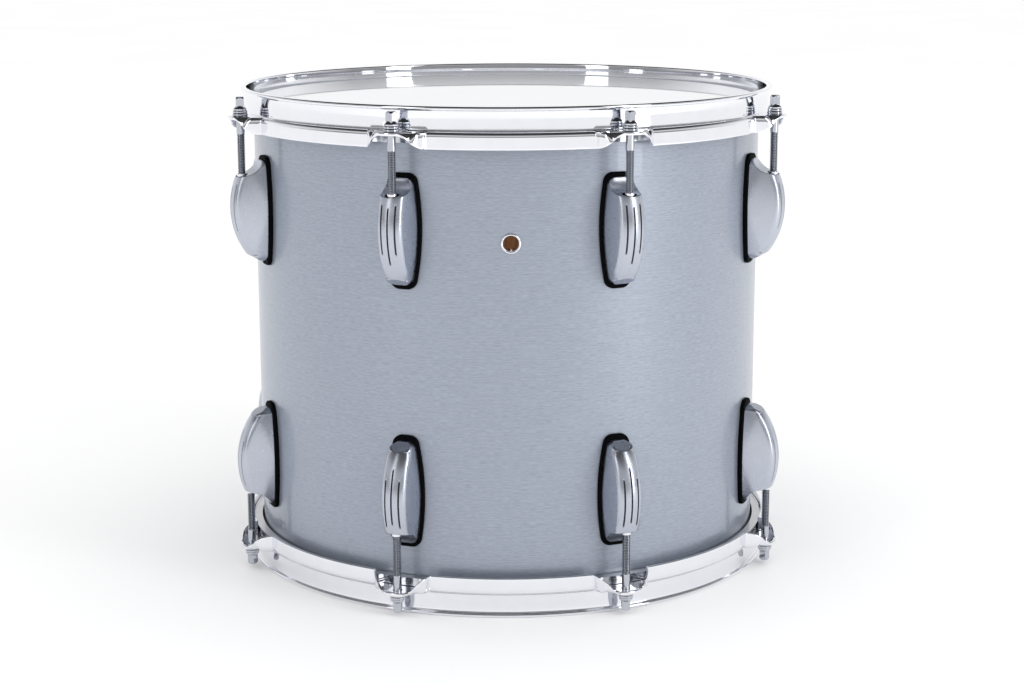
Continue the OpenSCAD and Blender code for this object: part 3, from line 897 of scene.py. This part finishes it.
def gasket_loop(inset, z0=48.0, z1=122.6, n=40):
    """Outline of the gasket, inset by a distance, as (u, z) points all the way round."""
    t = (1 - np.cos(np.linspace(0, math.pi, n))) / 2
    z = z0 + inset + (z1 - z0 - 2 * inset) * t
    u = outline_half(12.6 - inset, z, z0 + inset, z1 - inset, 5.0 - inset)
    return np.concatenate([np.stack([u, z], -1), np.stack([-u[::-1], z[::-1]], -1)])


def gasket_mesh():
    """Rubber pad behind a lug, hollowed to the shell, with a rounded rim."""
    loops = []
    for inset, drop in ((1.3, 0.0), (0.9, 0.02), (0.55, 0.12), (0.27, 0.3), (0.08, 0.58), (0.0, 0.95)):
        loop = gasket_loop(inset)
        loops.append(front_points(loop[:, 0], np.full(len(loop), PLANE_R - drop), loop[:, 1]))
    loop = gasket_loop(0.0)
    for lift in (0.35, -0.15):
        foot = np.sqrt((WRAP_R + lift) ** 2 - loop[:, 0] ** 2)
        loops.append(front_points(loop[:, 0], foot, loop[:, 1]))
    points = np.array(loops)
    n, cols = points.shape[0], points.shape[1]
    faces = grid_faces(n, cols, close_cols=True)
    faces.append(tuple(range(cols - 1, -1, -1)))
    return make_mesh("gasket_moulding", points.reshape(-1, 3), faces, sharp_deg=60)


def gasket_pieces(materials):
    mesh = gasket_mesh()
    for side in SIDES:
        for i in RODS:
            name = f"{side}_lug_gasket_{i}"
            place = side_matrix(side, azimuth(i))
            nodes = [f"{side}_lug_gaskets"]
            add_piece(name, mesh, materials["gasket_rubber"], "drum_shell", nodes, place)


def nut_mesh():
    """Swivel nut: body and flange inside the casing, domed collar above the seat."""
    section = [(2.8, 86.0), (3.8, 86.0), (3.8, 99.5), (4.6, 99.5), (4.6, 103.4), (3.2, 103.4)]
    section += arc(2.65, NUT_TOP - 0.55, 0.55, 0, 85, 8)
    section += [(2.62, NUT_TOP - 0.05), (2.62, 86.0)]
    return revolve("nut_turned", section, steps=64)


def nut_pieces(materials):
    mesh = nut_mesh()
    for side in SIDES:
        for i in RODS:
            place = side_matrix(side, azimuth(i)) @ Matrix.Translation((0, -ROD_R * MM, 0))
            name = f"{side}_swivel_nut_{i}"
            add_piece(name, mesh, materials["chrome"], "drum_shell", [f"{side}_swivel_nuts"], place)


# ---------- pieces kept from the CAD ----------


def dress_cad_nodes(materials):
    """Gives the CAD pieces that stay in view their materials."""
    kept = {"shell": "ply"}
    for side in SIDES:
        kept[f"{side}_flesh_hoop"] = "flesh_aluminium"
        kept[f"{side}_head_resin"] = "resin"
        kept[f"{side}_nut_clips"] = "clip_plastic"
        kept[f"{side}_lug_screws"] = "zinc_steel"
        kept[f"{side}_lug_screw_washers"] = "zinc_steel"
    for name, slot in kept.items():
        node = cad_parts[name]
        node.data.materials.clear()
        node.data.materials.append(materials[slot])


# ---------- studio ----------


def floor_piece():
    """Plain pale floor."""
    n = Nodes("floor_pale")
    cloud = n.noise(n.scaled(400, 400, 400), detail=1)
    n.colour(n.ramp(cloud, (0.95, 0.95, 0.95), (0.97, 0.97, 0.97)))
    n.set(Roughness=0.9, Specular_IOR_Level=0.1)
    size = 12000.0
    corners = [(-size, -size, 0), (size, -size, 0), (size, size, 0), (-size, size, 0)]
    mesh = make_mesh("floor_sheet", corners, [(0, 1, 2, 3)])
    mesh.materials.append(n.material)
    floor = bpy.data.objects.new("floor", mesh)
    bpy.context.scene.collection.objects.link(floor)


FRONT_WALL = ((0.0, 0.30), (0.12, 0.30), (0.30, 0.68), (0.45, 0.72), (0.58, 0.08), (1.0, 0.035))
BACK_WALL = ((0.0, 1.0), (0.22, 1.0), (0.40, 0.62), (0.55, 0.15), (0.7, 0.035), (1.0, 0.035))


def wall_ramp(tree, height, stops):
    """Brightness of one wall of the room against height, from floor level to the ceiling."""
    ramp = tree.nodes.new("ShaderNodeValToRGB")
    elements = ramp.color_ramp.elements
    while len(elements) < len(stops):
        elements.new(0.5)
    for element, (position, level) in zip(elements, stops):
        element.position = position
        element.color = (level, level, level * 1.01, 1)
    tree.links.new(height, ramp.inputs["Fac"])
    return ramp.outputs["Color"]


def world_light():
    """Even white light for matt surfaces. Reflections see a grey wall before the drum, a white one
    behind it and a dim ceiling."""
    world = bpy.data.worlds.new("studio")
    bpy.context.scene.world = world
    world.use_nodes = True
    tree = world.node_tree
    coords = tree.nodes.new("ShaderNodeTexCoord")
    xyz = tree.nodes.new("ShaderNodeSeparateXYZ")
    tree.links.new(coords.outputs["Generated"], xyz.inputs[0])
    behind = tree.nodes.new("ShaderNodeMapRange")
    behind.inputs["From Min"].default_value = -0.25
    behind.inputs["From Max"].default_value = 0.45
    tree.links.new(xyz.outputs["Y"], behind.inputs["Value"])
    walls = tree.nodes.new("ShaderNodeMixRGB")
    tree.links.new(behind.outputs["Result"], walls.inputs["Fac"])
    tree.links.new(wall_ramp(tree, xyz.outputs["Z"], FRONT_WALL), walls.inputs["Color1"])
    tree.links.new(wall_ramp(tree, xyz.outputs["Z"], BACK_WALL), walls.inputs["Color2"])
    room = tree.nodes.new("ShaderNodeBackground")
    tree.links.new(walls.outputs[0], room.inputs["Color"])
    even = tree.nodes["Background"]
    even.inputs["Color"].default_value = (1, 1, 1, 1)
    even.inputs["Strength"].default_value = 1.06
    path = tree.nodes.new("ShaderNodeLightPath")
    mix = tree.nodes.new("ShaderNodeMixShader")
    tree.links.new(path.outputs["Is Glossy Ray"], mix.inputs[0])
    tree.links.new(even.outputs[0], mix.inputs[1])
    tree.links.new(room.outputs[0], mix.inputs[2])
    tree.links.new(mix.outputs[0], tree.nodes["World Output"].inputs["Surface"])


def softbox(name, azimuth_deg, elevation_deg, distance, width, height, power, glossy=True):
    """Area light aimed at the drum's middle."""
    light = bpy.data.lights.new(name, "AREA")
    light.shape = "RECTANGLE"
    light.size, light.size_y = width, height
    light.energy = power
    obj = bpy.data.objects.new(name, light)
    bpy.context.scene.collection.objects.link(obj)
    a, e = math.radians(azimuth_deg), math.radians(elevation_deg)
    target = Vector((0, 0, MID_Z))
    spot = target + distance * Vector((math.sin(a) * math.cos(e), -math.cos(a) * math.cos(e), math.sin(e)))
    obj.location = spot
    obj.rotation_euler = (target - spot).to_track_quat("-Z", "Y").to_euler()
    obj.visible_glossy = glossy
    obj.visible_camera = False
    return obj


def studio():
    floor_piece()
    world_light()
    softbox("key_right", 53, 20, 2.2, 0.5, 2.1, 13)
    softbox("fill_left", -46, 22, 2.4, 0.5, 1.9, 4.5)
    softbox("inside_glow", 0, 89, 0.12, 0.25, 0.25, 0.16)
    settings = bpy.context.scene.view_settings
    settings.view_transform = "Standard"
    settings.look = "None"
    settings.exposure = 0.0


def camera():
    """Camera at the photograph's angle."""
    yaw, pitch, roll = math.radians(1.024), math.radians(11.792), math.radians(-0.119)
    forward = Vector((math.sin(yaw) * math.cos(pitch), math.cos(yaw) * math.cos(pitch), -math.sin(pitch)))
    right = Vector((math.cos(yaw), -math.sin(yaw), 0))
    up = right.cross(forward)
    x = math.cos(roll) * right + math.sin(roll) * up
    y = math.cos(roll) * up - math.sin(roll) * right
    data = bpy.data.cameras.new("camera")
    data.sensor_width = 36
    data.lens = 73.10
    obj = bpy.data.objects.new("camera", data)
    bpy.context.scene.collection.objects.link(obj)
    turn = Matrix((x, y, -forward)).transposed().to_4x4()
    obj.matrix_world = Matrix.Translation((-0.02260, -1.46987, 0.45155)) @ turn
    bpy.context.scene.camera = obj


def build():
    materials = make_materials()
    wrap_piece(materials)
    grommet_piece(materials)
    film_pieces(materials)
    hoop_pieces(materials)
    rod_pieces(materials)
    washer_pieces(materials)
    lug_pieces(materials)
    gasket_pieces(materials)
    nut_pieces(materials)
    dress_cad_nodes(materials)


build()
studio()
camera()
